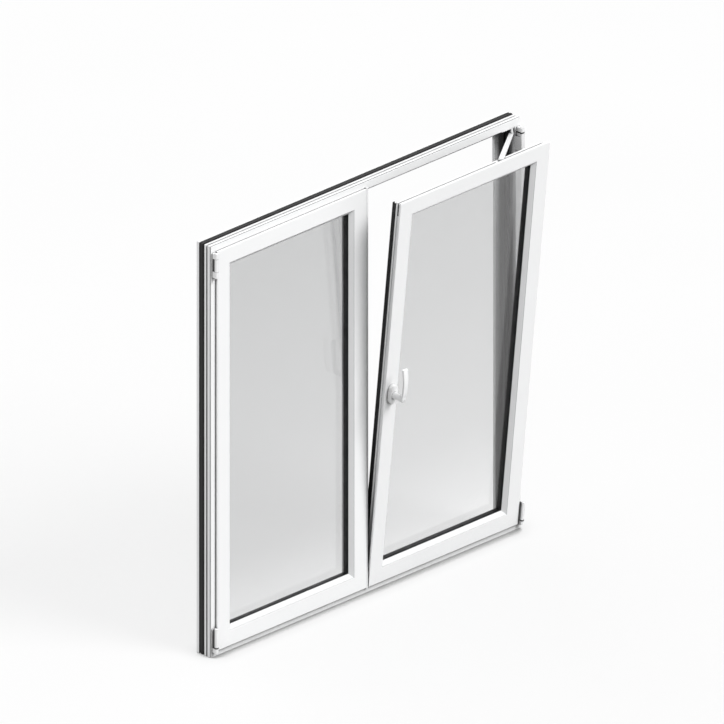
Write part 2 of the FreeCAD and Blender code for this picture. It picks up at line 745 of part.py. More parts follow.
def hinge_sash_leaf(direction, bottom, top, bore_top, pin_play):
    """Sleeve over the pin; a neck and a low tongue join it to the edge of the sash."""
    axis_x = hinge_axis_x(direction)
    neck_start = HINGE_INSET + HINGE_NECK_OFFSET
    neck_left, neck_right = beside_edge(direction, neck_start, neck_start + HINGE_NECK)
    tongue_left, tongue_right = beside_edge(direction, neck_start, SASH_MARGIN)
    sleeve = barrel(axis_x, HINGE_AXIS_DEPTH, bottom, top - bottom, HINGE_BARREL)
    wall_middle = HINGE_AXIS_DEPTH + (HINGE_PIN + HINGE_BARREL) / 4
    neck = block(neck_left, neck_right, wall_middle, -HINGE_GAP, bottom, top)
    tongue = block(tongue_left, tongue_right, -HINGE_GAP - HINGE_TONGUE, -HINGE_GAP, bottom, top)
    bore = barrel(axis_x, HINGE_AXIS_DEPTH, bottom, bore_top - bottom, HINGE_PIN + 2 * pin_play)
    return sleeve.fuse([neck, tongue]).cut(bore).removeSplitter()


def left_upper_hinge():
    """Three knuckles: the sash's one turns between the two of the frame."""
    bottom = UPPER_HINGE_BOTTOM
    top = bottom + UPPER_HINGE_HEIGHT
    low_knuckle = (bottom, bottom + UPPER_HINGE_BOTTOM_KNUCKLE)
    high_knuckle = (top - UPPER_HINGE_TOP_KNUCKLE, top)
    frame_leaf = hinge_frame_leaf(-1, bottom, UPPER_HINGE_HEIGHT, (low_knuckle, high_knuckle), top)
    sash_bottom = low_knuckle[1] + HINGE_GAP
    sash_top = high_knuckle[0] - HINGE_GAP
    return frame_leaf, hinge_sash_leaf(-1, sash_bottom, sash_top, sash_top, HINGE_PIN_PLAY)


def left_lower_hinge():
    """The sash's sleeve stands on one knuckle; its pin ends inside the sleeve."""
    bottom = LOWER_HINGE_FROM_BOTTOM
    split = bottom + LOWER_HINGE_KNUCKLE
    top = bottom + LOWER_HINGE_HEIGHT
    pin_top = top - HINGE_PIN
    frame_leaf = hinge_frame_leaf(-1, bottom, LOWER_HINGE_HEIGHT, ((bottom, split),), pin_top)
    bore_top = pin_top + HINGE_PIN_PLAY
    return frame_leaf, hinge_sash_leaf(-1, split + HINGE_GAP, top, bore_top, HINGE_PIN_PLAY)


def tilt_hinge():
    """Lower hinge of the tilted sash: a short pin lets the sleeve lean with the sash."""
    bottom = LOWER_HINGE_FROM_BOTTOM
    split = bottom + LOWER_HINGE_KNUCKLE
    top = bottom + LOWER_HINGE_HEIGHT
    pin_top = split + TILT_PIN_RISE
    frame_leaf = hinge_frame_leaf(1, bottom, LOWER_HINGE_HEIGHT, ((bottom, split),), pin_top)
    barrel_front = SASH_FACE - HINGE_AXIS_DEPTH + HINGE_BARREL / 2
    lean = barrel_front * math.sin(math.radians(TILT_ANGLE))
    bore_top = pin_top + TILT_PIN_PLAY
    sash_leaf = hinge_sash_leaf(1, split + HINGE_GAP + lean, top, bore_top, TILT_PIN_PLAY)
    return frame_leaf, tilted(sash_leaf)


def bearing_block(bottom, top, root_width):
    """Block round the upper bearing's axis, rounded in front; its root may be wider."""
    axis_x = hinge_axis_x(1)
    left = axis_x - BEARING_WIDTH / 2
    right = axis_x + BEARING_WIDTH / 2
    return upright(section([
        (right - root_width, 0.0),
        (left, -BEARING_PROUD, BEARING_ROUND),
        (right, -BEARING_PROUD, BEARING_ROUND),
        (right, 0.0),
    ]), bottom, top)


def stay_bearing():
    """Upper bearing of the tilted sash: a footed block and a cap on one collar."""
    foot_top = HEIGHT - BEARING_FOOT_TOP
    body_top = HEIGHT - BEARING_TOP
    cap_bottom = HEIGHT - BEARING_CAP_BOTTOM
    foot_width = hinge_axis_x(1) + BEARING_WIDTH / 2 - WIDTH / 2 + INSIDE_WIDTH - ARRIS
    foot = bearing_block(UPPER_HINGE_BOTTOM, foot_top, foot_width)
    body = bearing_block(foot_top, body_top, BEARING_WIDTH)
    cap = bearing_block(cap_bottom, HEIGHT - BEARING_CAP_TOP, BEARING_WIDTH)
    collar = barrel(hinge_axis_x(1), HINGE_AXIS_DEPTH, body_top, cap_bottom - body_top, BEARING_COLLAR)
    return foot.fuse([body, collar, cap]).removeSplitter()


def stay_bracket():
    """Plate in the fittings groove under the head, with the pivot pin of the stay arm."""
    head_underside = HEIGHT - INSIDE_WIDTH
    plate_bottom = head_underside - STAY_BRACKET_THICKNESS
    right = WIDTH / 2 - INSIDE_WIDTH - HINGE_GAP
    left = right - STAY_BRACKET_LENGTH
    groove_end = KEEP_GROOVE_START + KEEP_GROOVE_WIDTH
    plate = block(left, right, STAY_BRACKET_SETBACK, groove_end, plate_bottom, head_underside)
    key = block(left, right, KEEP_GROOVE_START + FIT, groove_end - FIT,
                head_underside, head_underside + KEEP_GROOVE_DEPTH - FIT)
    collar_bottom = STAY_PIVOT_BOTTOM + STAY_THICKNESS + STAY_COLLAR_GAP
    collar = barrel(STAY_PIVOT_X, STAY_PIVOT_DEPTH, collar_bottom,
                    plate_bottom - collar_bottom, STAY_PIVOT_COLLAR)
    pin = barrel(STAY_PIVOT_X, STAY_PIVOT_DEPTH, STAY_PIVOT_BOTTOM,
                 plate_bottom - STAY_PIVOT_BOTTOM, HINGE_PIN)
    return plate.fuse([key, collar, pin]).removeSplitter()


def flat_link(start, end, start_width, end_width, thickness):
    """Flat bar with round ends between two points, level across its width."""
    along = (end - start).normalize()
    across = Vector(-along.y, along.x, 0).normalize()
    lift = along.cross(across)
    start_half = across * (start_width / 2)
    end_half = across * (end_width / 2)
    bar = Part.Face(Part.makePolygon([
        start + start_half, end + end_half, end - end_half, start - start_half, start + start_half,
    ])).extrude(lift * thickness)
    start_end = Part.makeCylinder(start_width / 2, thickness, start, lift)
    far_end = Part.makeCylinder(end_width / 2, thickness, end, lift)
    return bar.fuse([start_end, far_end])


def stay_arm():
    """Flat arm from the pin of its bracket to a shoe in the top rail of the tilted sash."""
    groove_middle = SASH_FACE + SASH_GROOVE_START + SASH_GROOVE_WIDTH / 2
    groove_top = RIGHT_BOX.top - BODY_EDGE
    shoe_x = RIGHT_BOX.right - STAY_SHOE_FROM_HINGE_SIDE
    pivot = at_depth(STAY_PIVOT_X, STAY_PIVOT_DEPTH, STAY_PIVOT_BOTTOM)
    seat = tilted_point(at_depth(shoe_x, groove_middle, groove_top))
    rivet = Vector(seat.x, seat.y, STAY_BOTTOM)
    bar = flat_link(pivot, rivet, STAY_PIVOT_WIDTH, STAY_RIVET_WIDTH, STAY_THICKNESS)
    pin_hole = barrel(STAY_PIVOT_X, STAY_PIVOT_DEPTH, STAY_PIVOT_BOTTOM - STAY_THICKNESS,
                      3 * STAY_THICKNESS, HINGE_PIN + 2 * HINGE_PIN_PLAY)
    shoe = tilted(block(
        shoe_x - STAY_SHOE_LENGTH / 2, shoe_x + STAY_SHOE_LENGTH / 2,
        groove_middle - SASH_GROOVE_WIDTH / 2 + FIT, groove_middle + SASH_GROOVE_WIDTH / 2 - FIT,
        groove_top - SASH_GROOVE_DEPTH + FIT, groove_top,
    ))
    shank_foot = Vector(seat.x, seat.y, seat.z - SASH_GROOVE_DEPTH / 2)
    shank_length = STAY_BOTTOM + STAY_THICKNESS / 2 - shank_foot.z
    shank = Part.makeCylinder(STAY_RIVET / 2, shank_length, shank_foot)
    return bar.cut(pin_hole).fuse([shank, shoe]).removeSplitter()


def hinge_parts():
    parts = {}
    frame_leaf, sash_leaf = left_upper_hinge()
    parts["left_upper_hinge_frame_leaf"] = frame_leaf
    parts["left_upper_hinge_sash_leaf"] = sash_leaf
    frame_leaf, sash_leaf = left_lower_hinge()
    parts["left_lower_hinge_frame_leaf"] = frame_leaf
    parts["left_lower_hinge_sash_leaf"] = sash_leaf
    frame_leaf, sash_leaf = tilt_hinge()
    parts["right_lower_hinge_frame_leaf"] = frame_leaf
    parts["right_lower_hinge_sash_leaf"] = sash_leaf
    parts["stay_bearing"] = stay_bearing()
    parts["stay_bracket"] = stay_bracket()
    parts["stay_arm"] = stay_arm()
    return parts


def handle_point(across, standoff, up):
    """Place on the meeting stile: standoff counts from the sash face into the room."""
    middle = RIGHT_BOX.left + SASH_FACE_WIDTH / 2
    return at_depth(middle + across, SASH_FACE - standoff, HANDLE_HEIGHT + up)


def round_ended_face(height, width):
    """Upright face with two half-round ends, on the face of the sash."""
    half = width / 2
    straight = height / 2 - half
    high_left = handle_point(-half, 0, straight)
    high_right = handle_point(half, 0, straight)
    low_left = handle_point(-half, 0, -straight)
    low_right = handle_point(half, 0, -straight)
    return Part.Face(Part.Wire([
        Part.Arc(high_left, handle_point(0, 0, height / 2), high_right).toShape(),
        Part.LineSegment(high_right, low_right).toShape(),
        Part.Arc(low_right, handle_point(0, 0, -height / 2), low_left).toShape(),
        Part.LineSegment(low_left, high_left).toShape(),
    ]))


def rim_edges(body, standoff):
    """Edges of a handle piece that lie in one plane in front of the sash face."""
    level = handle_point(0, standoff, 0).y
    return [edge for edge in body.Edges
            if all(abs(vertex.Y - level) < 1e-6 for vertex in edge.Vertexes)]


def handle_rosette():
    """Long round-ended base plate with the bearing hole of the neck."""
    plate = round_ended_face(ROSETTE_HEIGHT, ROSETTE_WIDTH)
    body = plate.extrude(Vector(0, -ROSETTE_THICKNESS, 0))
    body = body.makeChamfer(ROSETTE_BEVEL, rim_edges(body, ROSETTE_THICKNESS))
    hole = Part.makeCylinder(NECK_DIAMETER / 2 + NECK_PLAY, ROSETTE_THICKNESS,
                             handle_point(0, 0, 0), Vector(0, -1, 0))
    return body.cut(hole)


def edges_at_height(body, up):
    """Edges of a handle piece whose two ends lie at one height above the neck."""
    level = handle_point(0, 0, up).z
    return [edge for edge in body.Edges
            if all(abs(vertex.Z - level) < 1e-6 for vertex in edge.Vertexes)
            and abs(edge.Vertexes[0].Y - edge.Vertexes[-1].Y) > 1e-6]


def lever_grip():
    """Bowed band, cut to an outline that widens from the heel to the square tip."""
    heel_half = GRIP_HEEL_WIDTH / 2
    tip_half = GRIP_TIP_WIDTH / 2
    outline = Part.Face(Part.makePolygon([
        handle_point(-heel_half, 0, -GRIP_HEEL),
        handle_point(heel_half, 0, -GRIP_HEEL),
        handle_point(tip_half, 0, GRIP_LENGTH),
        handle_point(-tip_half, 0, GRIP_LENGTH),
        handle_point(-heel_half, 0, -GRIP_HEEL),
    ]))
    reach = GRIP_STANDOFF + GRIP_THICKNESS + 2 * GRIP_BOW
    front_view = outline.extrude(Vector(0, -reach, 0))
    front_view = front_view.makeFillet(GRIP_TIP_ROUND, edges_at_height(front_view, GRIP_LENGTH))
    front_view = front_view.makeFillet(GRIP_HEEL_ROUND, edges_at_height(front_view, -GRIP_HEEL))
    middle = (GRIP_LENGTH - GRIP_HEEL) / 2

    def bowed_edge(standoff):
        return Part.Arc(
            handle_point(-tip_half, standoff, -GRIP_HEEL),
            handle_point(-tip_half, standoff + GRIP_BOW, middle),
            handle_point(-tip_half, standoff, GRIP_LENGTH),
        ).toShape()
    inner_edge = bowed_edge(GRIP_STANDOFF)
    outer_edge = bowed_edge(GRIP_STANDOFF + GRIP_THICKNESS)
    low_end = Part.LineSegment(inner_edge.Vertexes[0].Point, outer_edge.Vertexes[0].Point).toShape()
    high_end = Part.LineSegment(inner_edge.Vertexes[1].Point, outer_edge.Vertexes[1].Point).toShape()
    side_view = Part.Face(Part.Wire([inner_edge, high_end, outer_edge, low_end]))
    return side_view.extrude(Vector(GRIP_TIP_WIDTH, 0, 0)).common(front_view)


def lever_neck():
    """Round neck through the rosette, flattened towards the grip."""
    length = GRIP_STANDOFF + GRIP_THICKNESS / 2
    radius = NECK_DIAMETER / 2
    bar = Part.makeCylinder(radius, length - NECK_PLAY, handle_point(0, NECK_PLAY, 0), Vector(0, -1, 0))
    tip_half = NECK_TIP_WIDTH / 2
    flanks = Part.Face(Part.makePolygon([
        handle_point(-radius, 0, -radius),
        handle_point(radius, 0, -radius),
        handle_point(radius, ROSETTE_THICKNESS, -radius),
        handle_point(tip_half, length, -radius),
        handle_point(-tip_half, length, -radius),
        handle_point(-radius, ROSETTE_THICKNESS, -radius),
        handle_point(-radius, 0, -radius),
    ])).extrude(Vector(0, 0, NECK_DIAMETER))
    return bar.common(flanks)


def handle_lever():
    """Lever in one piece, upright as it stands when the sash is tilted."""
    return lever_grip().fuse(lever_neck()).removeSplitter()


PARTS = {}
PARTS.update(frame_parts())
PARTS.update(sash_parts("left_sash", LEFT_BOX, ("top", "bottom", "left")))
for name, shape in sash_parts("right_sash", RIGHT_BOX, SIDES).items():
    PARTS[name] = tilted(shape)
PARTS["meeting_stile_adapter"] = meeting_adapter()
PARTS["meeting_stile_web"] = meeting_web()
PARTS["meeting_stile_outside_cover"] = meeting_cover()
PARTS["right_sash_meeting_profile"] = tilted(right_meeting_profile())
PARTS["right_sash_lock_rail"] = tilted(lock_rail())
PARTS.update(hinge_parts())
PARTS["handle_rosette"] = tilted(handle_rosette())
PARTS["handle_lever"] = tilted(handle_lever())

os.makedirs("parts", exist_ok=True)
for name, shape in PARTS.items():
    shape.exportStep(f"parts/{name}.step")
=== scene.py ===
import json
import math

import bpy
from mathutils import Euler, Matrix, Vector


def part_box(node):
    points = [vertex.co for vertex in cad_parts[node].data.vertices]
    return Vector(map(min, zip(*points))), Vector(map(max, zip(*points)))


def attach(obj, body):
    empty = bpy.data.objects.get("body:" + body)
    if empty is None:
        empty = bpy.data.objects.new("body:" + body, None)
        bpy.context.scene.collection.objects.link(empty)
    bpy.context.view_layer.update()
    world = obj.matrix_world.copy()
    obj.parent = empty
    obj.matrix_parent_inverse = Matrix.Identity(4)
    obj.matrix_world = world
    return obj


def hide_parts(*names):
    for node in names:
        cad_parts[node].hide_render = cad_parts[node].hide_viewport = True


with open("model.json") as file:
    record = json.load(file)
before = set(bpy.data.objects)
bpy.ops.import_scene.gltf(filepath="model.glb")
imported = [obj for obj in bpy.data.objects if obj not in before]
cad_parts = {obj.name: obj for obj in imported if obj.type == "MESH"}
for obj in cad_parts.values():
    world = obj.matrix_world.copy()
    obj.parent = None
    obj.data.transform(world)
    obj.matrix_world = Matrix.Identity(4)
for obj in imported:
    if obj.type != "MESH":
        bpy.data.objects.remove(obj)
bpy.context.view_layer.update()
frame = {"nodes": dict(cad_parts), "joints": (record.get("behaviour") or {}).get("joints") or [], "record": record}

scene = bpy.context.scene
nodes = frame["nodes"]


# Tools for shader nodes

def grey(level, cool=0.0):
    """Grey of a level, with a little more green and blue where it is cool."""
    return (level, level + cool, level + 2 * cool, 1)


def feed(tree, source, socket):
    """Sets a socket to a plain value, or links it to another socket."""
    if isinstance(source, bpy.types.NodeSocket):
        tree.links.new(source, socket)
    else:
        socket.default_value = source


def add_noise(tree, scale, detail, roughness):
    """Noise over the piece's own coordinates, in metres."""
    place = tree.nodes.new("ShaderNodeTexCoord")
    noise = tree.nodes.new("ShaderNodeTexNoise")
    tree.links.new(place.outputs["Object"], noise.inputs["Vector"])
    for label, value in (("Scale", scale), ("Detail", detail), ("Roughness", roughness)):
        feed(tree, value, noise.inputs[label])
    return noise.outputs["Fac"]


def map_range(tree, value, source=(0.0, 1.0), target=(0.0, 1.0)):
    """Spreads a value from one range to another, and keeps it within the target."""
    spread = tree.nodes.new("ShaderNodeMapRange")
    feed(tree, value, spread.inputs["Value"])
    for label, bound in zip(("From Min", "From Max", "To Min", "To Max"), source + target):
        feed(tree, bound, spread.inputs[label])
    return spread.outputs["Result"]


def blend_colours(tree, factor, first, second):
    """First colour where the factor is 0, second where it is 1."""
    blend = tree.nodes.new("ShaderNodeMix")
    blend.data_type = "RGBA"
    for label, source in (("Factor", factor), ("A", first), ("B", second)):
        feed(tree, source, blend.inputs[label])
    return blend.outputs["Result"]


def colour_ramp(tree, value, stops):
    """Colour that runs through stops, each a position and a colour."""
    node = tree.nodes.new("ShaderNodeValToRGB")
    elements = node.color_ramp.elements
    for end in (0, -1):
        elements[end].position, elements[end].color = stops[end]
    for position, colour in stops[1:-1]:
        elements.new(position).color = colour
    tree.links.new(value, node.inputs["Fac"])
    return node.outputs["Color"]


def add_math(tree, operation, *values):
    node = tree.nodes.new("ShaderNodeMath")
    node.operation = operation
    for socket, value in zip(node.inputs, values):
        feed(tree, value, socket)
    return node.outputs["Value"]


def add_vector_math(tree, operation, *values):
    node = tree.nodes.new("ShaderNodeVectorMath")
    node.operation = operation
    for socket, value in zip(node.inputs, values):
        feed(tree, value, socket)
    return node.outputs["Value" if operation == "DOT_PRODUCT" else "Vector"]


# Shader groups shared by the materials

surface_outputs = {"Colour": "NodeSocketColor", "Roughness": "NodeSocketFloat", "Height": "NodeSocketFloat"}


def shader_group(name, inputs, outputs):
    """Empty shader group: a number makes a value socket, and four numbers make a colour socket."""
    group = bpy.data.node_groups.new(name, "ShaderNodeTree")
    for label, value in inputs.items():
        kind = "NodeSocketColor" if isinstance(value, tuple) else "NodeSocketFloat"
        group.interface.new_socket(label, in_out="INPUT", socket_type=kind).default_value = value
    for label, kind in outputs.items():
        group.interface.new_socket(label, in_out="OUTPUT", socket_type=kind)
    return group, group.nodes.new("NodeGroupInput").outputs, group.nodes.new("NodeGroupOutput").inputs


def make_coat_group():
    """Powder coat: orange peel in height and gloss, faint mottling in tone."""
    group, given, result = shader_group(
        "coat_surface",
        {"Colour": grey(0.8), "Shade": grey(0.75), "Gloss Low": 0.3, "Gloss High": 0.4},
        surface_outputs,
    )
    grain_share = 0.35
    peel = add_noise(group, scale=420.0, detail=2.0, roughness=0.45)
    grain = add_noise(group, scale=2600.0, detail=1.0, roughness=0.5)
    mottle = add_noise(group, scale=7.0, detail=3.0, roughness=0.55)
    gloss = map_range(group, peel, target=(given["Gloss Low"], given["Gloss High"]))
    feed(group, blend_colours(group, mottle, given["Colour"], given["Shade"]), result["Colour"])
    feed(group, gloss, result["Roughness"])
    feed(group, add_math(group, "MULTIPLY_ADD", grain, grain_share, peel), result["Height"])
    return group


def make_moulded_group():
    """Extruded plastic or rubber: fine speckle, dull and shiny patches."""
    group, given, result = shader_group(
        "moulded_surface",
        {"Colour": grey(0.02), "Speckle": grey(0.05), "Speckle Size": 900.0,
         "Gloss Low": 0.45, "Gloss High": 0.65},
        surface_outputs,
    )
    speckle_edges = (0.45, 0.75)
    speckle = add_noise(group, scale=given["Speckle Size"], detail=3.0, roughness=0.6)
    patches = add_noise(group, scale=18.0, detail=2.0, roughness=0.5)
    sharper = map_range(group, speckle, source=speckle_edges)
    gloss = map_range(group, patches, target=(given["Gloss Low"], given["Gloss High"]))
    feed(group, blend_colours(group, sharper, given["Colour"], given["Speckle"]), result["Colour"])
    feed(group, gloss, result["Roughness"])
    feed(group, speckle, result["Height"])
    return group


# Kinds of painted shade: lean of the look to the light, its reach, and how open a closed and a clear place are
shade_kinds = {
    "Recess Colour": ((0.2, -0.2, 0.6), 0.200, (0.10, 0.62)),
    "Shadow Colour": ((0.5, -0.4, 0.9), 0.020, (0.42, 0.64)),
    "Slot Colour": ((0.0, 0.0, 0.0), 0.005, (0.42, 0.66)),
}


def make_painted_shade_group():
    """Painted shade in deep recesses, under proud edges that keep off the light, and in narrow slots."""
    group, given, result = shader_group(
        "painted_shade",
        {"Colour": grey(0.8)} | {label: grey(0.3) for label in shade_kinds},
        {"Colour": "NodeSocketColor"},
    )
    surface = group.nodes.new("ShaderNodeNewGeometry")
    colour = given["Colour"]
    for label, (lean, reach, closed_to_clear) in shade_kinds.items():
        leaned = add_vector_math(group, "ADD", surface.outputs["Normal"], lean)
        hollow = group.nodes.new("ShaderNodeAmbientOcclusion")
        hollow.samples = 8
        hollow.inputs["Distance"].default_value = reach
        feed(group, add_vector_math(group, "NORMALIZE", leaned), hollow.inputs["Normal"])
        openness = map_range(group, hollow.outputs["AO"], source=closed_to_clear)
        colour = blend_colours(group, openness, given[label], colour)
    feed(group, colour, result["Colour"])
    return group


coat_group = make_coat_group()
moulded_group = make_moulded_group()
painted_shade_group = make_painted_shade_group()


# Materials

# Colours of the painted shade for each finish: in recesses, under proud edges and in slots
white_painted_shade = {"Recess Colour": (0.07, 0.07, 0.072, 1), "Shadow Colour": (0.20, 0.20, 0.203, 1),
               "Slot Colour": (0.02, 0.02, 0.021, 1)}
lever_painted_shade = {"Recess Colour": grey(0.80), "Shadow Colour": (0.22, 0.22, 0.224, 1),
               "Slot Colour": (0.06, 0.06, 0.062, 1)}
black_painted_shade = {"Recess Colour": grey(0.008), "Shadow Colour": grey(0.003), "Slot Colour": grey(0.003)}


def new_material(name):
    material = bpy.data.materials.new(name)
    material.use_nodes = True
    return material, material.node_tree, material.node_tree.nodes["Principled BSDF"]


def place_group(tree, group, values):
    """Puts a shader group into a material with its own values."""
    placed = tree.nodes.new("ShaderNodeGroup")
    placed.node_tree = group
    for label, value in values.items():
        feed(tree, value, placed.inputs[label])
    return placed.outputs


def surfaced_material(name, group, values, relief, painted_shade_colours=None, plain_values=None):
    """Principled material whose colour, gloss and relief come from shader groups, with painted shade laid over the
    colour where shade colours are given; relief is in metres.
    """
    material, tree, shader = new_material(name)
    surface = place_group(tree, group, values)
    bump = tree.nodes.new("ShaderNodeBump")
    bump.inputs["Distance"].default_value = relief
    feed(tree, surface["Height"], bump.inputs["Height"])
    colour = surface["Colour"]
    # Painted shade darkens the colour in recesses, under proud edges and in slots
    if painted_shade_colours:
        colour = place_group(tree, painted_shade_group, {"Colour": colour} | painted_shade_colours)["Colour"]
    feed(tree, colour, shader.inputs["Base Color"])
    feed(tree, surface["Roughness"], shader.inputs["Roughness"])
    feed(tree, bump.outputs["Normal"], shader.inputs["Normal"])
    for label, value in (plain_values or {}).items():
        shader.inputs[label].default_value = value
    return material


white_coat = surfaced_material(
    "white_powder_coat", coat_group,
    {"Colour": (0.875, 0.878, 0.880, 1), "Shade": (0.845, 0.850, 0.855, 1),
     "Gloss Low": 0.36, "Gloss High": 0.46},
    relief=0.00006, painted_shade_colours=white_painted_shade,
)
# Painted shade: the beads' coat is the profiles' white made greyer
bead_coat_with_painted_shade = surfaced_material(
    "white_bead_painted_shade_coat", coat_group,
    {"Colour": (0.73, 0.733, 0.736, 1), "Shade": (0.70, 0.705, 0.71, 1),
     "Gloss Low": 0.36, "Gloss High": 0.46},
    relief=0.00006, painted_shade_colours=white_painted_shade,
)
white_fitting = surfaced_material(
    "white_lacquered_fitting", coat_group,
    {"Colour": (0.86, 0.862, 0.864, 1), "Shade": (0.83, 0.834, 0.838, 1),
     "Gloss Low": 0.28, "Gloss High": 0.36},
    relief=0.00003, painted_shade_colours=white_painted_shade,
)
white_lever = surfaced_material(
    "white_satin_lever", coat_group,
    {"Colour": (0.87, 0.872, 0.874, 1), "Shade": (0.85, 0.853, 0.856, 1),
     "Gloss Low": 0.26, "Gloss High": 0.34},
    relief=0.00003, painted_shade_colours=lever_painted_shade,
)
black_strip = surfaced_material(
    "black_glass_fibre_polyamide", moulded_group,
    {"Colour": (0.007, 0.007, 0.0073, 1), "Speckle": (0.020, 0.020, 0.021, 1), "Speckle Size": 1400.0,
     "Gloss Low": 0.45, "Gloss High": 0.6},
    relief=0.00008, painted_shade_colours=black_painted_shade, plain_values={"Specular IOR Level": 0.3},
)
black_seal = surfaced_material(
    "black_rubber_seal", moulded_group,
    {"Colour": (0.011, 0.011, 0.012, 1), "Speckle": (0.020, 0.020, 0.021, 1), "Speckle Size": 800.0,
     "Gloss Low": 0.6, "Gloss High": 0.75},
    relief=0.00010, plain_values={"Specular IOR Level": 0.25},
)
black_spacer = surfaced_material(
    "black_spacer_bar", moulded_group,
    {"Colour": (0.013, 0.013, 0.014, 1), "Speckle": (0.03, 0.03, 0.031, 1), "Speckle Size": 600.0,
     "Gloss Low": 0.4, "Gloss High": 0.55},
    relief=0.00005,
)
steel_rail = surfaced_material(
    "zinc_plated_steel", coat_group,
    {"Colour": (0.82, 0.825, 0.83, 1), "Shade": (0.70, 0.71, 0.72, 1),
     "Gloss Low": 0.30, "Gloss High": 0.44},
    relief=0.00002, plain_values={"Metallic": 1.0},
)


def make_glass():
    """Float glass with a neutral grey tint that runs as a painted reflection: deeper towards the head, paler
    towards the foot and where a pane leans in.
    """
    rise_and_lean = (0, 3, 1)
    tint_range = (0.08, 1.42)
    tint_cool = 0.002
    painted_reflection_stops = ((0.06, 0.925), (0.20, 0.852), (0.50, 0.812), (1.0, 0.770))
    film_gloss = (0.0, 0.01)
    material, tree, shader = new_material("clear_float_glass")
    place = tree.nodes.new("ShaderNodeTexCoord")
    # The tint runs with height and lean as a painted reflection
    height = add_vector_math(tree, "DOT_PRODUCT", place.outputs["Object"], rise_and_lean)
    stops = [(0.0, grey(1.0))] + [(share, grey(level, tint_cool)) for share, level in painted_reflection_stops]
    tint_and_painted_reflection = colour_ramp(tree, map_range(tree, height, source=tint_range), stops)
    film = add_noise(tree, scale=5.0, detail=3.0, roughness=0.6)
    feed(tree, tint_and_painted_reflection, shader.inputs["Base Color"])
    feed(tree, map_range(tree, film, target=film_gloss), shader.inputs["Roughness"])
    shader.inputs["Transmission Weight"].default_value = 1.0
    shader.inputs["IOR"].default_value = 1.5
    return material


finish_of_slot = {
    "white_coated_aluminium": white_coat,
    "white_fittings": white_fitting,
    "white_handle": white_lever,
    "steel_rail": steel_rail,
    "black_polyamide": black_strip,
    "black_rubber": black_seal,
    "black_spacer": black_spacer,
    "clear_glass": make_glass(),
}
# The beads share the slot of the profiles, and their coat is coloured greyer as painted shade
for subpart in frame["record"]["subparts"]:
    node = subpart["node"]
    finish = bead_coat_with_painted_shade if node.endswith("glazing_beads") else finish_of_slot[subpart["material_slot"]]
    for slot in nodes[node].material_slots:
        slot.material = finish


# Tools for modelling a piece as by hand

# A face is an end when its normal has this much of an axis, and an edge runs along an axis past this length
end_facing = 0.9
clear_length = 0.001


def deselect_all():
    if bpy.context.object and bpy.context.object.mode != "OBJECT":
        bpy.ops.object.mode_set(mode="OBJECT")
    bpy.ops.object.select_all(action="DESELECT")


def select_only(piece):
    deselect_all()
    piece.select_set(True)
    bpy.context.view_layer.objects.active = piece


def start_box(name, size, centre):
    """Box at its size and place, ready for edit mode."""
    deselect_all()
    bpy.ops.mesh.primitive_cube_add(size=1.0, location=centre)
    piece = bpy.context.object
    piece.name = name
    piece.scale = size
    bpy.ops.object.transform_apply(location=True, rotation=True, scale=True)
    return piece


def start_round(name, radius, length, end, sides):
    """Round bar that starts at the end point and runs towards the room."""
    deselect_all()
    middle = Vector(end) - Vector((0, length / 2, 0))
    bpy.ops.mesh.primitive_cylinder_add(
        vertices=sides, radius=radius, depth=length, location=middle, rotation=(math.pi / 2, 0, 0))
    piece = bpy.context.object
    piece.name = name
    bpy.ops.object.transform_apply(location=True, rotation=True, scale=True)
    return piece


def start_upright(name, radius, height, base, sides):
    """Upright round piece that stands on its base point, with its mesh still round its own middle."""
    deselect_all()
    middle = Vector(base) + Vector((0, 0, height / 2))
    bpy.ops.mesh.primitive_cylinder_add(vertices=sides, radius=radius, depth=height, location=middle)
    piece = bpy.context.object
    piece.name = name
    return piece


def start_picking(piece, kind):
    """Clears the picks of a piece, and leaves it in object mode."""
    bpy.context.view_layer.objects.active = piece
    bpy.ops.object.mode_set(mode="EDIT")
    bpy.ops.mesh.select_mode(type=kind)
    bpy.ops.mesh.select_all(action="DESELECT")
    bpy.ops.object.mode_set(mode="OBJECT")


def pick_faces(piece, wanted):
    """Leaves the piece in edit mode with only the wanted faces selected."""
    start_picking(piece, "FACE")
    for face in piece.data.polygons:
        face.select = wanted(face.center, face.normal)
    bpy.ops.object.mode_set(mode="EDIT")


def pick_edges(piece, wanted):
    """Leaves the piece in edit mode with only the wanted edges selected."""
    start_picking(piece, "EDGE")
    corners = piece.data.vertices
    for edge in piece.data.edges:
        edge.select = wanted(corners[edge.vertices[0]].co, corners[edge.vertices[1]].co)
    bpy.ops.object.mode_set(mode="EDIT")


def leave_edit():
    bpy.ops.object.mode_set(mode="OBJECT")


def round_picked_edges(radius, segments):
    bpy.ops.mesh.bevel(offset=radius, segments=segments, affect="EDGES")
    leave_edit()


def extrude_to(step, scale, centre):
    """Extrudes the picked face by a step and scales its new end about a centre."""
    bpy.ops.mesh.extrude_region_move(TRANSFORM_OT_translate={"value": step})
    bpy.ops.transform.resize(value=scale, center_override=centre)


def apply_modifier(piece, kind, **settings):
    modifier = piece.modifiers.new(kind.lower(), kind)
    for label, value in settings.items():
        setattr(modifier, label, value)
    bpy.context.view_layer.objects.active = piece
    bpy.ops.object.modifier_apply(modifier=modifier.name)


def combine(piece, tool, operation):
    """Joins the tool to the piece or cuts it out of the piece, and removes the tool."""
    apply_modifier(piece, "BOOLEAN", operation=operation, object=tool, solver="EXACT")
    bpy.data.objects.remove(tool)


def smooth(piece, degrees):
    select_only(piece)
    bpy.ops.object.shade_smooth_by_angle(angle=math.radians(degrees))


# Lever handle: made round its axis, with the sash face at y = 0 and the room at -y

handle_joint = frame["joints"][0]
handle_axis = Vector(handle_joint["pos_m"])
sash_tilt = math.atan2(handle_joint["axis"][2], handle_joint["axis"][1])

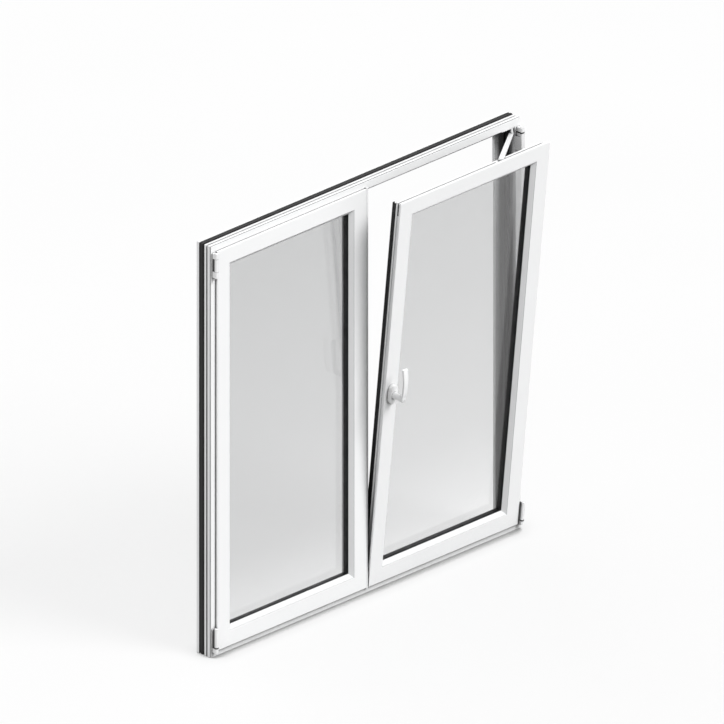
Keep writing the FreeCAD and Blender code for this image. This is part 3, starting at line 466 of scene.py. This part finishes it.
grip_standoff = 0.049
grip_thickness = 0.009
grip_bow = 0.008
grip_heel = 0.0115
grip_length = 0.115
grip_low_width = 0.0160
grip_high_width = 0.0220
grip_edge_round = 0.0026
grip_block = 0.010
grip_steps = 12
tip_round = 0.003
tip_turns = (30, 60, 80)
heel_turns = (20, 40, 60, 75, 86)
heel_narrowest = 0.16
heel_thinning = 0.97

rosette_width = 0.032
rosette_height = 0.070
rosette_thickness = 0.016
rosette_rim_round = 0.0026
rosette_end_flat = 0.0002

neck_radius = 0.0125
neck_play = 0.0003
# End of each stretch of the neck, with its half width and half height there
neck_stations = (
    (0.019, 0.0121, 0.0121), (0.024, 0.0112, 0.0117), (0.030, 0.0101, 0.0114),
    (0.037, 0.0090, 0.0113), (0.044, 0.0082, 0.0115), (0.0535, 0.0078, 0.0116),
)
lever_cell = 0.0007
lever_smoothing = 8


def grip_centre(height):
    middle = (grip_length - grip_heel) / 2
    half = (grip_length + grip_heel) / 2
    bow = grip_bow * (1 - ((height - middle) / half) ** 2)
    return Vector((0, -grip_standoff - grip_thickness / 2 - bow, height))


def grip_width(height):
    share = (height + grip_heel) / (grip_length + grip_heel)
    return grip_low_width + (grip_high_width - grip_low_width) * share


def upper_sections():
    """Even steps along the bow, then a short rounded square tip: height, width and change of thickness."""
    shoulder = grip_length - tip_round
    for step in range(1, grip_steps + 1):
        height = grip_block + (shoulder - grip_block) * step / grip_steps
        yield height, grip_width(height), 1
    thickness = grip_thickness
    for turn in tip_turns:
        drawn_in = 2 * tip_round * (1 - math.cos(math.radians(turn)))
        height = shoulder + tip_round * math.sin(math.radians(turn))
        yield height, grip_width(grip_length) - drawn_in, (grip_thickness - drawn_in) / thickness
        thickness = grip_thickness - drawn_in


def heel_sections():
    """Section that draws in along a quarter circle: height, width and change of thickness."""
    for turn in heel_turns:
        width = grip_width(0) * max(math.cos(math.radians(turn)), heel_narrowest)
        yield -grip_heel * math.sin(math.radians(turn)), width, heel_thinning


def draw_grip(here, width, sections):
    """Extrudes the picked end of the grip through its sections."""
    for height, new_width, change in sections:
        goal = grip_centre(height)
        extrude_to(goal - here, (new_width / width, change, 1), goal)
        here = goal
        width = new_width


def make_grip():
    """Bowed flat grip that widens to its square tip; its rounded heel covers the neck."""
    start = (grip_centre(0) + grip_centre(grip_block)) / 2
    width = grip_width(0)
    piece = start_box("lever_grip", (width, grip_thickness, grip_block), start)
    pick_edges(piece, lambda a, b: abs(a.z - b.z) > clear_length)
    round_picked_edges(grip_edge_round, segments=4)
    pick_faces(piece, lambda centre, normal: normal.z > end_facing)
    draw_grip(Vector((start.x, start.y, grip_block)), width, upper_sections())
    leave_edit()
    pick_faces(piece, lambda centre, normal: normal.z < -end_facing)
    draw_grip(Vector((start.x, start.y, 0)), width, heel_sections())
    leave_edit()
    return piece


def make_neck():
    """Neck, round in the rosette, that flattens sideways and runs into the grip."""
    here = rosette_thickness
    width = neck_radius
    height = neck_radius
    piece = start_round("lever_neck", neck_radius, here - neck_play, (0, -neck_play, 0), sides=48)
    pick_faces(piece, lambda centre, normal: normal.y < -end_facing)
    for end, new_width, new_height in neck_stations:
        extrude_to((0, here - end, 0), (new_width / width, 1, new_height / height), (0, -end, 0))
        here, width, height = end, new_width, new_height
    leave_edit()
    return piece


def set_on_tilted_sash(piece):
    """Moves a piece made round the origin to the handle's axis on the leaning sash."""
    select_only(piece)
    piece.rotation_euler = (sash_tilt, 0, 0)
    piece.location = handle_axis
    bpy.ops.object.transform_apply(location=True, rotation=True, scale=True)


def make_lever():
    piece = make_grip()
    combine(piece, make_neck(), "UNION")
    apply_modifier(piece, "REMESH", mode="VOXEL", voxel_size=lever_cell)
    apply_modifier(piece, "SMOOTH", factor=0.5, iterations=lever_smoothing)
    piece.name = "turning_lever"
    smooth(piece, degrees=60)
    set_on_tilted_sash(piece)
    piece.data.materials.append(white_lever)
    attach(piece, "handle")
    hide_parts("handle_lever")


def make_rosette():
    """Round-ended cover plate with a soft rim, bored for the neck."""
    front = -rosette_thickness
    on_front = 0.00001
    bore_start = 0.01
    bore_length = 0.04
    piece = start_box("lever_rosette", (rosette_width, rosette_thickness, rosette_height), (0, front / 2, 0))
    pick_edges(piece, lambda a, b: abs(a.y - b.y) > clear_length)
    round_picked_edges(rosette_width / 2 - rosette_end_flat, segments=14)
    pick_edges(piece, lambda a, b: abs(a.y - front) < on_front and abs(b.y - front) < on_front)
    round_picked_edges(rosette_rim_round, segments=5)
    bore = start_round("bore", neck_radius + neck_play, bore_length, (0, bore_start, 0), sides=64)
    combine(piece, bore, "DIFFERENCE")
    smooth(piece, degrees=35)
    set_on_tilted_sash(piece)
    piece.data.materials.append(white_lever)
    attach(piece, "window")
    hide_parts("handle_rosette")


make_lever()
make_rosette()


# Small fittings: hinge caps, washers, clip rings, the stay's spacer and rivet, the screws of the lock rail

hinge_axis_x = 0.714
hinge_axis_y = -0.0255
hinge_radius = 0.0065
left_hinge_axis = (-hinge_axis_x, hinge_axis_y)
right_hinge_axis = (hinge_axis_x, hinge_axis_y)
lean_axis = Vector((0, -0.019, 0.022))

upper_hinge_bottom, upper_hinge_top = (corner.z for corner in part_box("left_upper_hinge_frame_leaf"))
upper_knuckle_bottom, upper_knuckle_top = (corner.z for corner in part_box("left_upper_hinge_sash_leaf"))
lower_sleeve_bottom, lower_sleeve_top = (corner.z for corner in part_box("left_lower_hinge_sash_leaf"))
bearing_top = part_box("stay_bearing")[1].z
arm_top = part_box("stay_arm")[1].z
rail_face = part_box("right_sash_lock_rail")[0].x

cap_radius = hinge_radius - 0.0004
cap_height = 0.0018
cap_set_in = 0.0001
bearing_cap_radius = 0.0048
bearing_cap_height = 0.0016

washer_radius = hinge_radius + 0.0003
washer_thickness = 0.0005
washer_gap = 0.00005
washer_hole_radius = 0.0036

ring_radius = hinge_radius + 0.0007
ring_hole_radius = hinge_radius + 0.00005
ring_height = 0.0036
ring_lift = 0.0002
ring_opening = 0.0035

spacer_low = Vector((0.7058, -0.0340, 1.4503))
spacer_high = Vector((0.7222, -0.0108, 1.4552))
spacer_corner_round = 0.0042
collar_hole_radius = 0.0052

rivet_place = (0.493, -0.1511)
rivet_radius = 0.0065
rivet_height = 0.0022
rivet_set_in = 0.0011

screw_heights = (0.16, 0.46, 1.04, 1.34)
screw_radius = 0.0036
screw_thickness = 0.0008
screw_edge_round = 0.0004
screw_proud = 0.0003
socket_radius = 0.0017
socket_floor = 0.0003

# Length of a cutting tool past the middle or the floor of its cut
cut_reach = 0.02


def lean_with_sash(piece):
    """Turns a piece that was made on the upright sash to the leaning one."""
    lean = Euler((sash_tilt, 0, 0))
    arm = Vector(piece.location) - lean_axis
    arm.rotate(lean)
    piece.location = lean_axis + arm
    piece.rotation_euler.rotate(lean)


def finish_fitting(piece, slot):
    """Puts the place into the mesh and ties the fitting to the window."""
    select_only(piece)
    bpy.ops.object.transform_apply(location=True, rotation=True, scale=True)
    smooth(piece, degrees=40)
    piece.data.materials.append(finish_of_slot[slot])
    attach(piece, "window")


def bore_upright(piece, radius, middle, sides):
    """Cuts an upright round hole right through a thin piece."""
    base = Vector(middle) - Vector((0, 0, cut_reach))
    combine(piece, start_upright("hole", radius, 2 * cut_reach, base, sides), "DIFFERENCE")


def model_cap(name, radius, height, base, hanging=False):
    """Flat dome on a narrow rim, as a pressed cap or a rivet head has."""
    half = height / 2
    rim_width = radius * 0.10
    rim_round = min(radius * 0.08, half * 0.5)
    near_middle = half + radius * 0.05
    near_edge = radius * 0.97
    on_rim = 0.000001
    # Width of each step of the dome as a share of the one below, and its rise as a share of the half height
    dome_steps = ((0.80, 0.5), (0.60, 0.3), (0.40, 0.15))
    piece = start_upright(name, radius, height, base, sides=32)
    pick_faces(piece, lambda centre, normal: normal.z > end_facing)
    bpy.ops.mesh.inset(thickness=rim_width, depth=0.0)
    leave_edit()
    pick_faces(piece, lambda centre, normal: normal.z > end_facing and centre.length < near_middle)
    for width, rise in dome_steps:
        extrude_to((0, 0, rise * half), (width, width, 1), piece.location)
    leave_edit()
    pick_edges(piece, lambda a, b: abs(a.z - half) < on_rim and abs(b.z - half) < on_rim
               and min(a.xy.length, b.xy.length) > near_edge)
    round_picked_edges(rim_round, segments=3)
    if hanging:
        piece.location = Vector(base) - Vector((0, 0, half))
        piece.rotation_euler = (math.pi, 0, 0)
    return piece


def make_hinge_caps():
    """Caps on the ends of the hinges and on the stay bearing; the one under the upper hinge hangs."""
    hinge_caps = (
        ("left_upper_hinge_cap_top", left_hinge_axis, upper_hinge_top - cap_set_in, False),
        ("left_upper_hinge_cap_bottom", left_hinge_axis, upper_hinge_bottom + cap_set_in, True),
        ("left_lower_hinge_cap", left_hinge_axis, lower_sleeve_top - cap_set_in, False),
        ("right_lower_hinge_cap", right_hinge_axis, lower_sleeve_top - cap_set_in, False),
    )
    for name, axis, level, hanging in hinge_caps:
        piece = model_cap(name, cap_radius, cap_height, axis + (level,), hanging)
        if axis == right_hinge_axis:
            lean_with_sash(piece)
        finish_fitting(piece, "white_fittings")
    on_bearing = right_hinge_axis + (bearing_top - cap_set_in,)
    piece = model_cap("stay_bearing_cap", bearing_cap_radius, bearing_cap_height, on_bearing)
    finish_fitting(piece, "white_fittings")


def make_hinge_washers():
    """Thin bearing rings that show as a dark line between the knuckles."""
    below = washer_thickness + washer_gap
    for name, base in (("left_upper_hinge_washer_top", upper_knuckle_top + washer_gap),
                       ("left_upper_hinge_washer_bottom", upper_knuckle_bottom - below),
                       ("left_lower_hinge_washer", lower_sleeve_bottom - below)):
        foot = left_hinge_axis + (base,)
        piece = start_upright(name, washer_radius, washer_thickness, foot, sides=40)
        bore_upright(piece, washer_hole_radius, foot, sides=40)
        finish_fitting(piece, "black_polyamide")


def make_hinge_rings():
    """Black clip rings round the foot of the lower hinges' sleeves, open towards the sash."""
    base = lower_sleeve_bottom + ring_lift
    for name, axis in (("left_lower_hinge_ring", left_hinge_axis),
                       ("right_lower_hinge_ring", right_hinge_axis)):
        foot = axis + (base,)
        piece = start_upright(name, ring_radius, ring_height, foot, sides=48)
        bore_upright(piece, ring_hole_radius, foot, sides=48)
        pick_faces(piece, lambda centre, normal: True)
        opening = Vector(foot) + Vector((0, ring_opening, 0))
        bpy.ops.mesh.bisect(plane_co=opening, plane_no=(0, 1, 0), use_fill=True, clear_outer=True)
        leave_edit()
        if axis == right_hinge_axis:
            lean_with_sash(piece)
        finish_fitting(piece, "black_polyamide")


def make_bearing_spacer():
    """Black spacer in the open slot of the stay bearing, bored for the collar."""
    middle = (spacer_low + spacer_high) / 2
    piece = start_box("stay_bearing_spacer", spacer_high - spacer_low, middle)
    pick_edges(piece, lambda a, b: abs(a.z - b.z) > clear_length and a.y < middle.y)
    round_picked_edges(spacer_corner_round, segments=6)
    bore_upright(piece, collar_hole_radius, right_hinge_axis + (middle.z,), sides=48)
    finish_fitting(piece, "black_polyamide")


def make_stay_rivet():
    """Domed head of the rivet that the stay arm swings on."""
    base = rivet_place + (arm_top - rivet_set_in,)
    finish_fitting(model_cap("stay_rivet_head", rivet_radius, rivet_height, base), "white_fittings")


def make_rail_screws():
    """Low-headed screws with a hexagon socket along the lock rail of the leaning sash."""
    for number, height in enumerate(screw_heights, 1):
        name = "lock_rail_screw" if number == 1 else f"lock_rail_screw_{number}"
        piece = start_upright(name, screw_radius, screw_thickness, (0, 0, 0), sides=32)
        pick_edges(piece, lambda a, b: a.z > 0 and b.z > 0)
        round_picked_edges(screw_edge_round, segments=3)
        socket = start_upright("socket", socket_radius, cut_reach, (0, 0, socket_floor), sides=6)
        combine(piece, socket, "DIFFERENCE")
        piece.rotation_euler = (0, -math.pi / 2, 0)
        piece.location = (rail_face - screw_proud, 0, height)
        lean_with_sash(piece)
        finish_fitting(piece, "steel_rail")


make_hinge_caps()
make_hinge_washers()
make_hinge_rings()
make_bearing_spacer()
make_stay_rivet()
make_rail_screws()


# Stage: floor, light and camera

def seen_directly(tree):
    """1 where the camera looks, also by a reflection or through glass, 0 where only light bounces."""
    before_first_bounce = 0.5
    path = tree.nodes.new("ShaderNodeLightPath").outputs
    straight = add_math(tree, "MAXIMUM", path["Is Camera Ray"], path["Is Transmission Ray"])
    any_look = add_math(tree, "MAXIMUM", straight, path["Is Glossy Ray"])
    no_bounce = add_math(tree, "LESS_THAN", path["Diffuse Depth"], before_first_bounce)
    return add_math(tree, "MULTIPLY", any_look, no_bounce)


def mix_by_look(tree, bounced, seen, output):
    """One shader for the light that bounces and another for what is looked at."""
    mix = tree.nodes.new("ShaderNodeMixShader")
    for socket, source in zip(mix.inputs, (seen_directly(tree), bounced, seen)):
        tree.links.new(source, socket)
    tree.links.new(mix.outputs["Shader"], tree.nodes[output].inputs["Surface"])


def make_floor():
    """Pale floor: white to look at with the shadow kept and a painted contact shadow round the object, greyer for
    the light it throws back.
    """
    floor_size = 24.0
    pale, paler = grey(0.15), grey(0.17)
    thrown_back = grey(0.35)
    painted_shadow_reach = 0.08
    # Glow by how open the floor is, from right under the sill to clear of it: a painted contact shadow
    glow_stops_with_painted_shadow = ((0.50, 0.22), (0.543, 0.64), (0.565, 0.83), (0.60, 0.89), (0.75, 0.94), (0.95, 1.0))
    deselect_all()
    bpy.ops.mesh.primitive_plane_add(size=floor_size, location=(0, 0, 0))
    floor = bpy.context.object
    floor.name = "studio_floor"
    material, tree, shader = new_material("pale_studio_floor")
    cloud = add_noise(tree, scale=0.8, detail=2.0, roughness=0.5)
    feed(tree, blend_colours(tree, cloud, paler, pale), shader.inputs["Base Color"])
    # Painted contact shadow: the floor glows less where the object closes it in
    painted_contact_shadow = tree.nodes.new("ShaderNodeAmbientOcclusion")
    painted_contact_shadow.samples = 12
    painted_contact_shadow.inputs["Distance"].default_value = painted_shadow_reach
    stops = [(openness, grey(level)) for openness, level in glow_stops_with_painted_shadow]
    feed(tree, colour_ramp(tree, painted_contact_shadow.outputs["AO"], stops), shader.inputs["Emission Color"])
    for label, value in (("Roughness", 0.9), ("Specular IOR Level", 0.1), ("Emission Strength", 0.78)):
        shader.inputs[label].default_value = value
    bounce = tree.nodes.new("ShaderNodeBsdfDiffuse")
    bounce.inputs["Color"].default_value = thrown_back
    mix_by_look(tree, bounce.outputs["BSDF"], shader.outputs["BSDF"], "Material Output")
    floor.data.materials.append(material)


def make_world():
    """Soft studio light, brighter from the left to fill the shade side; white where it is looked at."""
    left_to_right = (-1.0, 1.0)
    strength_left_to_right = (1.15, 0.0)
    world = bpy.data.worlds.new("studio")
    scene.world = world
    world.use_nodes = True
    tree = world.node_tree
    light = tree.nodes["Background"]
    seen = tree.nodes.new("ShaderNodeBackground")
    for background in (light, seen):
        background.inputs["Color"].default_value = grey(1.0)
        background.inputs["Strength"].default_value = 1.0
    place = tree.nodes.new("ShaderNodeTexCoord")
    sides = tree.nodes.new("ShaderNodeSeparateXYZ")
    tree.links.new(place.outputs["Generated"], sides.inputs["Vector"])
    fall = map_range(tree, sides.outputs["X"], source=left_to_right, target=strength_left_to_right)
    tree.links.new(fall, light.inputs["Strength"])
    mix_by_look(tree, light.outputs["Background"], seen.outputs["Background"], "World Output")


def add_broad_lamp(name, elevation, turn, strength, spread):
    """Even light from one side, all angles in degrees: no turn is from the room, and spread softens it."""
    data = bpy.data.lights.new(name, "SUN")
    data.energy = strength
    data.angle = math.radians(spread)
    lamp = bpy.data.objects.new(name, data)
    lamp.rotation_euler = (math.radians(90 - elevation), 0, math.radians(turn))
    scene.collection.objects.link(lamp)


def make_camera(centre, width, elevation, turn):
    """Parallel view of a width in metres, from a height and a side in degrees."""
    distance = 8.0
    data = bpy.data.cameras.new("camera")
    data.type = "ORTHO"
    data.ortho_scale = width
    data.clip_end = 60.0
    camera = bpy.data.objects.new("camera", data)
    aim = Euler((math.radians(90 - elevation), 0, math.radians(turn)))
    back = Vector((0, 0, distance))
    back.rotate(aim)
    camera.location = Vector(centre) + back
    camera.rotation_euler = aim
    scene.collection.objects.link(camera)
    scene.camera = camera


make_floor()
make_world()
add_broad_lamp("key_light", elevation=44.0, turn=20.0, strength=2.7, spread=28.0)
add_broad_lamp("back_light", elevation=12.0, turn=172.0, strength=0.9, spread=60.0)
make_camera(centre=(0.0273, 0.0347, 0.819), width=2.397, elevation=24.92, turn=-45.0)
scene.view_settings.view_transform = "Standard"
